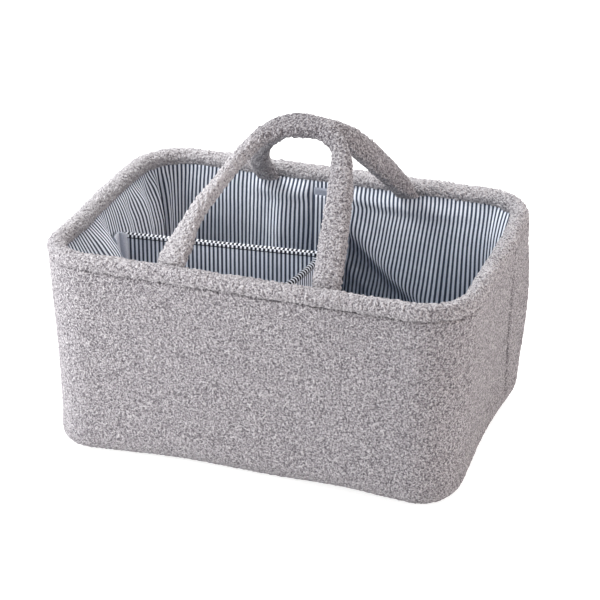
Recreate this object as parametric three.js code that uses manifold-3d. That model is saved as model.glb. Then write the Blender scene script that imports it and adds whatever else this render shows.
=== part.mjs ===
// Fabric diaper caddy: an open padded basket with a rolled rim, two padded carrying handles
// and two dividers that are held by hook-and-loop tape and lift out.
// Millimetres, +Z up. The origin is under the middle of the base, +X runs along the basket
// and -Y is its front.
import * as THREE from "three";
import { mergeVertices } from "three/addons/utils/BufferGeometryUtils.js";
import Module from "manifold-3d";

const wasm = await Module();
wasm.setup();

// Basket
const basketLength = 380;
const basketDepth = 262;
const basketHeight = 190;
const cornerRadius = 48;
const endTaper = 8; // lean of the end walls, measured at the table
const sideTaper = 3.5; // lean of the long walls
const sidePull = 5.5; // how far the soft walls are drawn in besides, halfway along
const bottomRound = 20;
const endSeam = 30; // place of the end seams, towards the back

// Layers of the wall and base
const clearance = 0.3; // between pieces that touch
const coverReveal = 0.8; // the cover lies this far inside the rim's outer edge
const coverThickness = 3.2;
const wallFoamThickness = 6;
const liningThickness = 1.2;
const baseFoamThickness = 5;
const baseBoardThickness = 3;

// Rim
const rollDiameter = 16;
const rollCloth = 2.4;
const flangeCloth = 0.9; // each of the two cloth edges below the roll
const flangeSlit = 0.5;
const flangeDrop = 13;

// Handles
const handleSpan = 136; // between the middles of the feet
const handleRise = 142; // from the bend to the crown, along the lean
const frontLean = 44; // degrees from upright, towards the middle
const backLean = 47.5;
const handleRoundness = 2; // 2 is an ellipse, more is squarer
const frontHang = 16; // how far the crown hangs to the right, seen from outside the wall
const backHang = -9;
const handleCloth = 2.6;
const footWidth = 26;
const footThickness = 3;
const footTabThickness = 2;
const footTabLength = 32;
const tabSlack = 0.6; // the lining hangs this far off the tabs
const bendReach = 8; // from under the roll to the line where the handle bends
const flareLength = 15; // from the flat foot to the full padding
const coreSetback = 16;
const handleWidths = [26, 11.5, 22, 18, 26]; // left foot, left leg, crown, right leg, right foot
const handleDepths = [13, 21, 13, 16, 13];
const flatHollow = 0.12; // half-height of the hollow in the flat ends, as a share of their depth

// Dividers
const crossDrop = 30; // from the rim's top to the top of the cross divider
const longDrop = 37; // and of the long divider
const dividerThickness = 5.4;
const dividerCloth = 1.2;
const hemThickness = 0.5;
const hemDrop = 1.2;
const crossPlace = 20; // the cross divider's x
const longPlace = 11; // the long divider's y halfway along
const longTurn = 0.1; // how much further back it lies for each millimetre to the right
const flapThickness = 1.4;
const crossFlapWidth = 41;
const longFlapWidth = 24;
const crossFlapRise = 2; // above the top of the cross divider
const flapFootRise = 12; // above the floor
const tapeThickness = 1;
const tapeShow = 6; // what shows of a loop strip above its flap
const tapeReturn = 7; // the hook tape's lap on the long divider

// Facets
const cornerSteps = 7;
const longSteps = 7;
const shortSteps = 3;
const rollSteps = 14;
const cordSteps = 10;
const roundSteps = 6;
const crownSteps = 6;
const tapeSteps = 2;
const handleSides = 12;
const handleStations = 22;
const archPoints = 33;
const tipStart = 0.04; // shares of the rounded tip and of the flare where rings lie
const tipShares = [0.45, 1];
const flareShares = [0.2, 0.4, 0.65, 1];

const halfLength = basketLength / 2;
const halfDepth = basketDepth / 2;
const rollRadius = rollDiameter / 2;
const rollHeight = basketHeight - rollRadius;
const coverInner = coverReveal + coverThickness;
const foamOuter = coverInner + clearance;
const foamInner = foamOuter + wallFoamThickness;
const tabOuter = foamInner + clearance;
const tabInner = tabOuter + footTabThickness;
const liningOuter = tabInner + tabSlack;
const liningInner = liningOuter + liningThickness;
const tapeOuter = liningInner + clearance;
const tapeInner = tapeOuter + tapeThickness;
const flapOuter = tapeInner + clearance;
const flapInner = flapOuter + flapThickness;
const baseFoamLow = coverThickness + clearance;
const boardLow = baseFoamLow + baseFoamThickness + clearance;
const floorLow = boardLow + baseBoardThickness + clearance;
const floorTop = floorLow + liningThickness;
const flangeLow = rollHeight - rollRadius - flangeDrop;
const crossTop = basketHeight - crossDrop;
const longTop = basketHeight - longDrop;
const crossFlapTop = crossTop + crossFlapRise;
const flapLow = floorTop + flapFootRise;

const boucle = new THREE.MeshStandardMaterial({ name: "boucle", color: 0xc9c5c3, roughness: 0.95 });
const stripe = new THREE.MeshStandardMaterial({ name: "striped_lining", color: 0x8b93a3, roughness: 0.9 });
const tape = new THREE.MeshStandardMaterial({ name: "hook_loop_tape", color: 0xa3abb8, roughness: 0.9 });
const foam = new THREE.MeshStandardMaterial({ name: "foam", color: 0xf0ede4, roughness: 0.9 });
const board = new THREE.MeshStandardMaterial({ name: "board", color: 0xb59a77, roughness: 0.9 });

const caddy = new THREE.Group();
caddy.name = "diaper_caddy";

function add(name, geometry, material, parent = caddy) {
  const mesh = new THREE.Mesh(geometry, material);
  mesh.name = name;
  parent.add(mesh);
  return mesh;
}

// Closed geometry from points and triangles, turned to face outwards.
function closed(points, triangles) {
  const geometry = new THREE.BufferGeometry();
  geometry.setAttribute("position", new THREE.Float32BufferAttribute(points.flat(), 3));
  let volume = 0;
  for (const [a, b, c] of triangles) {
    const cross = new THREE.Vector3(...points[b]).cross(new THREE.Vector3(...points[c]));
    volume += cross.dot(new THREE.Vector3(...points[a]));
  }
  geometry.setIndex(triangles.flatMap(([a, b, c]) => (volume < 0 ? [a, c, b] : [a, b, c])));
  geometry.computeVertexNormals();
  return geometry;
}

// Joins like rings of points, one after the other; an open row of rings gets an end face of
// the given triangles at each end. Every four-sided face is split from its upper corner in one
// ring to its lower corner in the next, so that layers of a twisted wall stay parallel.
function loft(rings, isLoop, endFace) {
  const sides = rings[0].length;
  const triangles = [];
  const count = isLoop ? rings.length : rings.length - 1;
  for (let i = 0; i < count; i += 1) {
    const here = i * sides;
    const next = ((i + 1) % rings.length) * sides;
    for (let j = 0; j < sides; j += 1) {
      const k = (j + 1) % sides;
      if (rings[i][j][2] >= rings[i][k][2]) {
        triangles.push([here + j, next + j, next + k], [here + j, next + k, here + k]);
      } else {
        triangles.push([here + j, next + j, here + k], [next + j, next + k, here + k]);
      }
    }
  }
  if (!isLoop) {
    const last = (rings.length - 1) * sides;
    for (const [a, b, c] of endFace) {
      triangles.push([a, b, c], [last + a, last + c, last + b]);
    }
  }
  return closed(rings.flat(), triangles);
}

// Triangles that fill a section, each running the same way round as the section itself.
function faceOf(section) {
  const outline = section.map(([x, y]) => new THREE.Vector2(x, y));
  const way = Math.sign(THREE.ShapeUtils.area(outline));
  return THREE.ShapeUtils.triangulateShape(outline, []).map(([a, b, c]) => {
    const area = THREE.ShapeUtils.area([outline[a], outline[b], outline[c]]);
    return Math.sign(area) === way ? [a, b, c] : [a, c, b];
  });
}

function toManifold(geometry) {
  const bare = geometry.clone();
  bare.deleteAttribute("normal");
  bare.deleteAttribute("uv");
  const merged = mergeVertices(bare, 1e-4);
  return new wasm.Manifold(
    new wasm.Mesh({
      numProp: 3,
      vertProperties: new Float32Array(merged.attributes.position.array),
      triVerts: new Uint32Array(merged.index.array),
    }),
  );
}

function fromManifold(solid) {
  const mesh = solid.getMesh();
  const geometry = new THREE.BufferGeometry();
  const places = new Float32Array(mesh.vertProperties);
  geometry.setAttribute("position", new THREE.BufferAttribute(places, 3));
  geometry.setIndex(new THREE.BufferAttribute(new Uint32Array(mesh.triVerts), 1));
  geometry.computeVertexNormals();
  return geometry;
}

function cutAway(geometry, cutters) {
  const start = toManifold(geometry);
  return fromManifold(cutters.reduce((left, cutter) => left.subtract(toManifold(cutter)), start));
}

function joined(first, second) {
  return fromManifold(toManifold(first).add(toManifold(second)));
}

// The outline of the rim's outer edge, as stations with a place and an outward normal.
function frontSide(x) {
  return { x, y: -halfDepth, nx: 0, ny: -1 };
}

function backSide(x) {
  return { x, y: halfDepth, nx: 0, ny: 1 };
}

function leftSide(y) {
  return { x: -halfLength, y, nx: -1, ny: 0 };
}

function rightSide(y) {
  return { x: halfLength, y, nx: 1, ny: 0 };
}

function row(side, from, to, steps) {
  return Array.from({ length: steps + 1 }, (_, i) => side(from + ((to - from) * i) / steps));
}

function corner(signX, signY, fromAngle, toAngle) {
  const stations = [];
  for (let i = 1; i < cornerSteps; i += 1) {
    const angle = THREE.MathUtils.degToRad(fromAngle + ((toAngle - fromAngle) * i) / cornerSteps);
    const nx = Math.cos(angle);
    const ny = Math.sin(angle);
    stations.push({
      x: signX * (halfLength - cornerRadius) + cornerRadius * nx,
      y: signY * (halfDepth - cornerRadius) + cornerRadius * ny,
      nx,
      ny,
    });
  }
  return stations;
}

const straightX = halfLength - cornerRadius;
const straightY = halfDepth - cornerRadius;

// From one end seam to the other, round the front and round the back.
function frontStations(seamGap) {
  return [
    ...row(rightSide, endSeam - seamGap, -straightY, shortSteps),
    ...corner(1, -1, 0, -90),
    ...row(frontSide, straightX, -straightX, longSteps),
    ...corner(-1, -1, -90, -180),
    ...row(leftSide, -straightY, endSeam - seamGap, shortSteps),
  ];
}

function backStations(seamGap) {
  return [
    ...row(leftSide, endSeam + seamGap, straightY, shortSteps - 1),
    ...corner(-1, 1, 180, 90),
    ...row(backSide, -straightX, straightX, longSteps),
    ...corner(1, 1, 90, 0),
    ...row(rightSide, straightY, endSeam + seamGap, shortSteps - 1),
  ];
}

const wholeRound = [...frontStations(0), ...backStations(0).slice(1, -1)];

// How far the wall lies inside the rim's outline at a station and height.
function drawIn(station, z) {
  const alongX = Math.cos((Math.PI / 2) * (station.x / halfLength)) ** 2 * Math.abs(station.ny);
  const alongY = Math.cos((Math.PI / 2) * (station.y / halfDepth)) ** 2 * Math.abs(station.nx);
  const taper = endTaper * station.nx ** 2 + sideTaper * station.ny ** 2;
  return (taper + sidePull * (alongX + alongY)) * (1 - z / basketHeight);
}

function wallPoint(station, inset, z) {
  const depth = inset + drawIn(station, z);
  return [station.x - station.nx * depth, station.y - station.ny * depth, z];
}

// A section of insets and heights, swept round the wall.
function band(section, stations, isLoop) {
  const rings = stations.map((station) => section.map(([inset, z]) => wallPoint(station, inset, z)));
  return loft(rings, isLoop, faceOf(section));
}

// A level plate with the wall's outline, the given inset from it.
function plate(inset, low, thickness) {
  const outline = wholeRound.map((station) => new THREE.Vector2(...wallPoint(station, inset, low)));
  const shape = new THREE.Shape(outline);
  const geometry = new THREE.ExtrudeGeometry(shape, { depth: thickness, bevelEnabled: false });
  return geometry.translate(0, 0, low);
}

// Points of an arc in a section, angles in degrees.
function arc(middleInset, middleZ, radius, from, to, steps) {
  return Array.from({ length: steps + 1 }, (_, i) => {
    const angle = THREE.MathUtils.degToRad(from + ((to - from) * i) / steps);
    return [middleInset + radius * Math.cos(angle), middleZ + radius * Math.sin(angle)];
  });
}

// The height of the rim roll's underside at an inset.
function rollUnder(inset) {
  return rollHeight - Math.sqrt(Math.max(rollRadius ** 2 - (rollRadius - inset) ** 2, 0));
}

// Outer covers: down the wall, round the bottom edge and a little way under.
const roundMiddle = coverReveal + bottomRound;
const coverTop = rollUnder(coverInner) - clearance;
const coverSection = [
  [coverReveal, coverTop],
  ...arc(roundMiddle, bottomRound, bottomRound, 180, 270, roundSteps),
  ...arc(roundMiddle, bottomRound, bottomRound - coverThickness, 270, 180, roundSteps),
  [coverInner, coverTop],
];
add("outer_front_cover", band(coverSection, frontStations(clearance / 2), false), boucle);
add("outer_back_cover", band(coverSection, backStations(clearance / 2), false), boucle);
add("outer_base_cover", plate(roundMiddle + clearance, 0, coverThickness), boucle);

// Wall foam: stands on the base board, with its lower edge rounded like the cover inside it.
const foamLow = floorLow;
const foamTop = flangeLow - clearance;
const innerRound = bottomRound - coverThickness - clearance;
const foamRoundEnd = 180 + THREE.MathUtils.radToDeg(Math.asin((bottomRound - foamLow) / innerRound));
const foamSection = [
  [foamOuter, foamTop],
  ...arc(roundMiddle, bottomRound, innerRound, 180, foamRoundEnd, roundSteps / 2),
  [foamInner, foamLow],
  [foamInner, foamTop],
];
add("front_wall_foam", band(foamSection, frontStations(clearance / 2), false), foam);
add("back_wall_foam", band(foamSection, backStations(clearance / 2), false), foam);

// Base: foam, stiff board and the lining's floor.
function roundInset(z) {
  return roundMiddle - Math.sqrt(innerRound ** 2 - (bottomRound - z) ** 2);
}

add("base_foam", plate(roundMiddle + clearance, baseFoamLow, baseFoamThickness), foam);
add("base_board", plate(roundInset(boardLow), boardLow, baseBoardThickness), board);
add("floor_lining", plate(foamInner + clearance, floorLow, liningThickness), stripe);

// Handle feet: a flat web that comes out under the roll and a tab behind the lining. A point on
// the web is a distance along it from the bend and a side, -1 towards the roll and 1 away from it.
const webOffset = rollRadius + clearance + footThickness / 2;
const bendRound = footThickness / 2;
const footX = handleSpan / 2;

function onWeb(leanDegrees, distance, side) {
  const lean = THREE.MathUtils.degToRad(leanDegrees);
  const along = new THREE.Vector2(Math.sin(lean), Math.cos(lean));
  const across = new THREE.Vector2(Math.cos(lean), -Math.sin(lean));
  return new THREE.Vector2(rollRadius, rollHeight)
    .addScaledVector(across, webOffset + (side * footThickness) / 2)
    .addScaledVector(along, bendReach + distance);
}

// The point where one side of the web reaches the given inset.
function webAtInset(leanDegrees, inset, side) {
  const start = onWeb(leanDegrees, 0, side);
  const run = (inset - start.x) / Math.sin(THREE.MathUtils.degToRad(leanDegrees));
  return onWeb(leanDegrees, run, side);
}

function footSection(leanDegrees, station) {
  const bentOuter = webAtInset(leanDegrees, tabOuter + drawIn(station, rollHeight), -1);
  const bentInner = webAtInset(leanDegrees, tabInner + drawIn(station, rollHeight), 1);
  const tabLow = bentInner.y - footTabLength;
  return [
    onWeb(leanDegrees, -bendRound - clearance, -1),
    onWeb(leanDegrees, -bendRound - clearance, 1),
    bentInner,
    new THREE.Vector2(tabInner + drawIn(station, tabLow), tabLow),
    new THREE.Vector2(tabOuter + drawIn(station, tabLow), tabLow),
    bentOuter,
  ];
}

function footGeometry(leanDegrees, x) {
  const shape = new THREE.Shape(footSection(leanDegrees, frontSide(x)));
  const geometry = new THREE.ExtrudeGeometry(shape, { depth: footWidth, bevelEnabled: false });
  const turn = new THREE.Matrix4().makeBasis(
    new THREE.Vector3(0, 1, 0),
    new THREE.Vector3(0, 0, 1),
    new THREE.Vector3(1, 0, 0),
  );
  return geometry.applyMatrix4(turn).translate(x - footWidth / 2, -halfDepth, 0);
}

// What belongs to the back handle is built like the front one and turned round.
const backHalf = new THREE.Group();
backHalf.rotation.z = Math.PI;
caddy.add(backHalf);
add("front_left_handle_foot", footGeometry(frontLean, -footX), boucle);
add("front_right_handle_foot", footGeometry(frontLean, footX), boucle);
add("back_right_handle_foot", footGeometry(backLean, -footX), boucle, backHalf);
add("back_left_handle_foot", footGeometry(backLean, footX), boucle, backHalf);

// Wall lining, notched where the feet come through its upper edge.
const liningTop = rollUnder(liningOuter) - clearance;
const liningLow = floorTop + clearance;
const liningSection = [
  [liningOuter, liningTop],
  [liningOuter, liningLow],
  [liningInner, liningLow],
  [liningInner, liningTop],
];
const webLows = [frontLean, backLean].map((leanDegrees) => webAtInset(leanDegrees, liningOuter, 1).y);
const notchLow = Math.min(...webLows) - clearance;
const notchWidth = footWidth + 2 * clearance;
const notches = [-1, 1].flatMap((side) =>
  [-1, 1].map((face) => {
    const notch = new THREE.BoxGeometry(notchWidth, 4 * rollRadius, 2 * rollRadius);
    const notchPlace = face * (halfDepth - liningInner);
    return notch.translate(side * footX, notchPlace, notchLow + rollRadius);
  }),
);
add("wall_lining", cutAway(band(liningSection, wholeRound, true), notches), stripe);

// Rim: cloth rolled round a cord, with its two edges hanging side by side between the walls.
const flangeHalf = flangeSlit / 2 + flangeCloth;
const rollBore = rollRadius - rollCloth;
const outerGap = THREE.MathUtils.radToDeg(Math.asin(flangeHalf / rollRadius));
const innerGap = THREE.MathUtils.radToDeg(Math.asin(flangeSlit / 2 / rollBore));
const rimSection = [
  [rollRadius + flangeHalf, flangeLow],
  ...arc(rollRadius, rollHeight, rollRadius, -90 + outerGap, 270 - outerGap, rollSteps),
  [rollRadius - flangeHalf, flangeLow],
  [rollRadius - flangeSlit / 2, flangeLow],
  ...arc(rollRadius, rollHeight, rollBore, 270 - innerGap, -90 + innerGap, cordSteps),
  [rollRadius + flangeSlit / 2, flangeLow],
];
const cordSection = arc(rollRadius, rollHeight, rollBore - clearance, 0, 360, cordSteps).slice(1);
add("rim_binding", band(rimSection, wholeRound, true), boucle);
add("rim_cord", band(cordSection, wholeRound, true), foam);

// Handles: a padded tube along an arch, flattened at both ends. It is drawn upright, with its
// bend line as the X axis, and then leaned over.
const widthAlong = new THREE.SplineCurve(handleWidths.map((width, i) => new THREE.Vector2(i, width)));
const depthAlong = new THREE.SplineCurve(handleDepths.map((depth, i) => new THREE.Vector2(i, depth)));

function archPoint(share, hang) {
  const angle = Math.PI * (1 - share);
  const reach = 2 / handleRoundness;
  const rise = Math.abs(Math.sin(angle)) ** reach;
  const spread = Math.sign(Math.cos(angle)) * Math.abs(Math.cos(angle)) ** reach;
  return new THREE.Vector3((handleSpan / 2) * spread + hang * rise ** 2, 0, handleRise * rise);
}

function archCurve(hang) {
  const points = Array.from({ length: archPoints }, (_, i) => archPoint(i / (archPoints - 1), hang));
  points[0].z = -bendRound;
  points[archPoints - 1].z = -bendRound;
  return new THREE.CatmullRomCurve3(points);
}

// Width in the plane of the arch and depth across it, at a distance along the arch. The tip of
// each end is rounded about the bend line, so that it can turn on its foot.
function handleSize(length, distance) {
  const fromEnd = Math.min(distance, length - distance);
  const flare = THREE.MathUtils.smoothstep(fromEnd, bendRound, bendRound + flareLength);
  const padded = depthAlong.getPoint(distance / length).y;
  const tip = Math.max(bendRound - fromEnd, 0) / bendRound;
  return {
    width: widthAlong.getPoint(distance / length).y,
    depth: THREE.MathUtils.lerp(footThickness, padded, flare) * Math.sqrt(1 - tip ** 2),
  };
}

// A ring of points round the arch; `cloth` is how far inside the outer surface it lies.
function handleRing(arch, distance, cloth) {
  const length = arch.getLength();
  const middle = arch.getPointAt(distance / length);
  const tangent = arch.getTangentAt(distance / length);
  const sideways = new THREE.Vector3(tangent.z, 0, -tangent.x).normalize();
  const { width, depth } = handleSize(length, distance);
  const halfWidth = width / 2 - cloth;
  const halfHeight = Math.max(depth / 2 - cloth, depth * flatHollow);
  return Array.from({ length: handleSides }, (_, i) => {
    const angle = (2 * Math.PI * i) / handleSides;
    const point = middle.clone().addScaledVector(sideways, halfWidth * Math.cos(angle));
    point.y += halfHeight * Math.sin(angle);
    return point.toArray();
  });
}

// Distances along the arch from `start` to as far from its other end: close together over the
// rounded tip and the flare, then even.
function handleDistances(length, start) {
  const tip = tipShares.map((share) => share * bendRound);
  const flare = flareShares.map((share) => bendRound + share * flareLength);
  const near = [start, ...[...tip, ...flare].filter((distance) => distance > start)];
  const first = near[near.length - 1];
  const step = (length - 2 * first) / handleStations;
  const even = Array.from({ length: handleStations - 1 }, (_, i) => first + step * (i + 1));
  return [...near, ...even, ...near.map((distance) => length - distance).reverse()];
}

function handleCover(arch) {
  const distances = handleDistances(arch.getLength(), tipStart * bendRound);
  const outside = distances.map((distance) => handleRing(arch, distance, 0));
  const inside = distances.map((distance) => handleRing(arch, distance, handleCloth));
  return loft([...outside, ...inside.reverse()], true, []);
}

function handleCore(arch) {
  const distances = handleDistances(arch.getLength(), coreSetback);
  const rings = distances.map((distance) => handleRing(arch, distance, handleCloth + clearance));
  const section = Array.from({ length: handleSides }, (_, i) => {
    const angle = (2 * Math.PI * i) / handleSides;
    return [Math.cos(angle), Math.sin(angle)];
  });
  return loft(rings, false, faceOf(section));
}

function addHandle(name, half, leanDegrees, hang) {
  const handle = new THREE.Group();
  const bend = onWeb(leanDegrees, 0, 0);
  handle.position.set(0, -halfDepth + bend.x, bend.y);
  handle.rotation.x = -THREE.MathUtils.degToRad(leanDegrees);
  half.add(handle);
  const arch = archCurve(hang);
  add(`${name}_cover`, handleCover(arch), boucle, handle);
  add(`${name}_core`, handleCore(arch), foam, handle);
}

addHandle("front_handle", caddy, frontLean, frontHang);
addHandle("back_handle", backHalf, backLean, backHang);

// Loop strips on the lining and the dividers' flaps that lie on them.
function wallTape(side, from, to, outer, inner, high) {
  const section = [
    [outer, high],
    [outer, flapLow],
    [inner, flapLow],
    [inner, high],
  ];
  return band(section, row(side, from, to, tapeSteps), false);
}

const dividerHalf = dividerThickness / 2;
const crossFlapRight = crossPlace + dividerHalf;
const crossFlapLeft = crossPlace - crossFlapWidth;
const longFlapBack = longAt(-halfLength + flapInner) + dividerHalf;
const longFlapFront = longFlapBack - longFlapWidth;

// The long divider's middle at a place along it.
function longAt(x) {
  return longPlace + longTurn * (x - (crossPlace - halfLength) / 2);
}

function addLoopStrip(name, side, from, to, flapTop) {
  add(name, wallTape(side, from, to, tapeOuter, tapeInner, flapTop + tapeShow), tape);
}

addLoopStrip("back_loop_strip", backSide, crossFlapLeft, crossFlapRight, crossFlapTop);
addLoopStrip("front_loop_strip", frontSide, crossFlapRight, crossFlapLeft, crossFlapTop);
addLoopStrip("left_loop_strip", leftSide, longFlapFront, longFlapBack, longTop);

// A divider is drawn as a section of thickness and height, run between two ends that lean with
// the walls; `place` turns a distance along it, a thickness and a height into a point.
function panel(section, ends, place) {
  const rings = [0, 1].map((end) => section.map(([across, z]) => place(ends(z)[end], across, z)));
  return loft(rings, false, faceOf(section));
}

// A sheet with a round top: solid, or an upside-down U when `cloth` gives its thickness.
function roundTopped(half, crown, low, cloth) {
  const outside = [[half, low], ...arc(0, crown, half, 0, 180, crownSteps), [-half, low]];
  if (cloth === undefined) {
    return outside;
  }
  const inner = half - cloth;
  return [...outside, [-inner, low], ...arc(0, crown, inner, 180, 0, crownSteps), [inner, low]];
}

const dividerLow = floorTop + clearance;
const hemHalf = dividerHalf + clearance + hemThickness;
const boardHalf = dividerHalf - dividerCloth - clearance;

// The middle of a divider's round top.
function crownOf(top) {
  return top - hemHalf;
}

function addDivider(name, top, ends, hemEnds, place) {
  const crown = crownOf(top);
  const cloth = roundTopped(dividerHalf, crown, dividerLow, dividerCloth);
  const hem = roundTopped(hemHalf, crown, crown - hemDrop, hemThickness);
  add(`${name}_cover`, panel(cloth, ends, place), stripe);
  add(`${name}_board`, panel(roundTopped(boardHalf, crown, dividerLow), ends, place), board);
  add(`${name}_hem`, panel(hem, hemEnds, place), stripe);
}

// Cross divider, from the front wall to the back wall.
function crossEnds(z) {
  const reach = halfDepth - flapInner - clearance - drawIn(frontSide(crossPlace), z);
  return [-reach, reach];
}

function crossPoint(run, across, z) {
  return [crossPlace + across, run, z];
}

addDivider("cross_divider", crossTop, crossEnds, crossEnds, crossPoint);
const backFlap = wallTape(backSide, crossFlapLeft, crossFlapRight, flapOuter, flapInner, crossFlapTop);
const frontFlap = wallTape(frontSide, crossFlapRight, crossFlapLeft, flapOuter, flapInner, crossFlapTop);
add("cross_divider_back_flap", backFlap, stripe);
add("cross_divider_front_flap", frontFlap, stripe);

// The long divider's inner flap lies on a loop strip on the cross divider, behind their joint.
const innerTapeFace = crossPlace - dividerHalf - clearance;
const innerFlapFace = innerTapeFace - tapeThickness - clearance;
const longInnerEnd = innerFlapFace - flapThickness - clearance;
const innerFlapTop = Math.min(crownOf(longTop), crownOf(crossTop) - hemDrop) - clearance;
const innerFlapTall = innerFlapTop - flapLow;
const innerFlapMiddle = longAt(longInnerEnd) - dividerHalf + longFlapWidth / 2;

function innerPlate(face, thickness) {
  const geometry = new THREE.BoxGeometry(thickness, longFlapWidth, innerFlapTall);
  return geometry.translate(face - thickness / 2, innerFlapMiddle, flapLow + innerFlapTall / 2);
}

add("cross_divider_loop_strip", innerPlate(innerTapeFace, tapeThickness), tape);
add("long_divider_inner_flap", innerPlate(innerFlapFace, flapThickness), stripe);

// Long divider, from the left wall to the inner flap. Its hem stops short of the hook tape.
function longLeft(z, across) {
  return -halfLength + flapInner + clearance + drawIn(leftSide(longAt(-halfLength) - across), z);
}

function longEnds(z) {
  return [longLeft(z, 0), longInnerEnd];
}

function longHemEnds(z) {
  return [longLeft(z, 0) + tapeReturn, longInnerEnd];
}

function longPoint(run, across, z) {
  return [run, longAt(run) - across, z];
}

addDivider("long_divider", longTop, longEnds, longHemEnds, longPoint);

// Its wall flap is one piece of hook tape: flat on the wall, then a lap along the divider's face.
const lapNear = dividerHalf + clearance;
const lapTop = crownOf(longTop);
const lapSection = [
  [lapNear, lapTop],
  [lapNear, flapLow],
  [lapNear + flapThickness, flapLow],
  [lapNear + flapThickness, lapTop],
];

function lapEnds(z) {
  const inWall = longLeft(z, lapNear) - clearance - flapThickness / 2;
  return [inWall, longLeft(z, 0) + tapeReturn - clearance];
}

const onWall = wallTape(leftSide, longFlapFront, longFlapBack, flapOuter, flapInner, longTop);
add("long_divider_wall_flap", joined(onWall, panel(lapSection, lapEnds, longPoint)), tape);

export default caddy;
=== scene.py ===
from math import cos, pi, radians, sin
import bpy
import numpy as np
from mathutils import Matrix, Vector


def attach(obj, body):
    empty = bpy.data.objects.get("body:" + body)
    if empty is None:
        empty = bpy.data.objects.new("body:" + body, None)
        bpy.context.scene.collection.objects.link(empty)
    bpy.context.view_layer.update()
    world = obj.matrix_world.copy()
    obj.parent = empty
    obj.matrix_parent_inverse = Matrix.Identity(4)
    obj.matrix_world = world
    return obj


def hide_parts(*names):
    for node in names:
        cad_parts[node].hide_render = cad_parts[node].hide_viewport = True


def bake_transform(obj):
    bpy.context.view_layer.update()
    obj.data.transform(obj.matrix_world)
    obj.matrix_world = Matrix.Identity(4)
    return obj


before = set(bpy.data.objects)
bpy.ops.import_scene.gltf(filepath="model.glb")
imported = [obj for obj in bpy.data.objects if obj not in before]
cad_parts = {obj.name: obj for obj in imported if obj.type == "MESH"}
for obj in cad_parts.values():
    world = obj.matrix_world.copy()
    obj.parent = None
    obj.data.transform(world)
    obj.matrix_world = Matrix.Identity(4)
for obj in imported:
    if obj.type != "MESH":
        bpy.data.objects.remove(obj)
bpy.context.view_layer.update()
scene = bpy.context.scene
mm = 0.001  # shapes below are in millimetres, Blender is in metres
print("frame loaded with", len(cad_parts), "solids")

view = {
    "eye": (541.6, -1536.1, 905.6),
    "target": (0, 0, 100),
    "lens": 124.42,
    "shift": (0.0101, 0.0228),
}


def aimAt(thing, target):
    thing.rotation_euler = (target - thing.location).to_track_quat("-Z", "Y").to_euler()


def placeCamera():
    camera = bpy.data.objects.new("camera", bpy.data.cameras.new("camera"))
    scene.collection.objects.link(camera)
    camera.location = Vector(view["eye"]) * mm
    aimAt(camera, Vector(view["target"]) * mm)
    camera.data.lens = view["lens"]
    camera.data.shift_x, camera.data.shift_y = view["shift"]
    camera.data.clip_end = 50
    scene.camera = camera


placeCamera()
print("camera placed")


# shader maths as plain expressions

class Wire:
    def __init__(self, socket):
        self.socket = socket
        self.tree = socket.id_data

    def node(self, kind, settings=None, inputs=None, output=0):
        made = self.tree.nodes.new(kind)
        for key, value in (settings or {}).items():
            setattr(made, key, value)
        for key, value in (inputs or {}).items():
            if isinstance(value, Wire):
                self.tree.links.new(value.socket, made.inputs[key])
            else:
                made.inputs[key].default_value = value
        return Wire(made.outputs[output])

    def maths(self, operation, first, second=0.0, clamp=False):
        settings = {"operation": operation, "use_clamp": clamp}
        return self.node("ShaderNodeMath", settings, {0: first, 1: second})

    def __add__(self, other):
        return self.maths("ADD", self, other)

    __radd__ = __add__

    def __sub__(self, other):
        return self.maths("SUBTRACT", self, other)

    def __rsub__(self, other):
        return self.maths("SUBTRACT", other, self)

    def __mul__(self, other):
        return self.maths("MULTIPLY", self, other)

    __rmul__ = __mul__

    def clamped(self):
        return self.maths("ADD", self, 0.0, True)

    def noise(self, scale, detail, **more):
        inputs = {"Vector": self, "Scale": scale, "Detail": detail, **more}
        return self.node("ShaderNodeTexNoise", None, inputs)


def linear(code):
    # a colour written as rrggbb, as Blender keeps it
    parts = [int(code[i:i + 2], 16) / 255 for i in (0, 2, 4)]
    shades = [p / 12.92 if p <= 0.04045 else ((p + 0.055) / 1.055) ** 2.4 for p in parts]
    return (*shades, 1.0)


def setInputs(node, values):
    for key, value in values.items():
        node.inputs[key].default_value = value


def newFinish(look):
    # a material, its shader and a wire to start from
    material = bpy.data.materials.new(look["name"])
    material.use_nodes = True
    shader = material.node_tree.nodes["Principled BSDF"]
    setInputs(shader, {"Roughness": look["roughness"], "Specular IOR Level": 0.25})
    places = material.node_tree.nodes.new("ShaderNodeTexCoord")
    return material, shader, Wire(places.outputs["Object"])


def plug(wire, socket):
    wire.tree.links.new(wire.socket, socket)


def mixColours(factor, first, second, blend="MIX"):
    settings = {"data_type": "RGBA", "blend_type": blend}
    return factor.node("ShaderNodeMix", settings, {0: factor, 6: first, 7: second}, 2)


def colourAndEmboss(shader, colour, height, look):
    plug(colour, shader.inputs["Base Color"])
    strength, distance = look["bump"]
    inputs = {"Height": height, "Strength": strength, "Distance": distance}
    plug(height.node("ShaderNodeBump", None, inputs), shader.inputs["Normal"])


boucleLook = {
    "name": "boucle", "slot": "boucle",
    "pale": "bab8bb", "shade": "504c52", "warm": "cfc4c0", "warmth": 0.05,
    "roughness": 0.95, "sheen": 0.14, "sheenRoughness": 0.6,
    "curlScale": 620.0, "fibreScale": 1050.0, "cloudScale": 22.0,
    # how much the painted light mark, curls and fibres lighten the cloth, and its least light;
    # darker between curls is painted shade
    "paintedLight": 0.34, "curl": 1.65, "fibre": 1.8, "least": 0.24,
    "bump": (0.8, 0.003),
}


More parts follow.
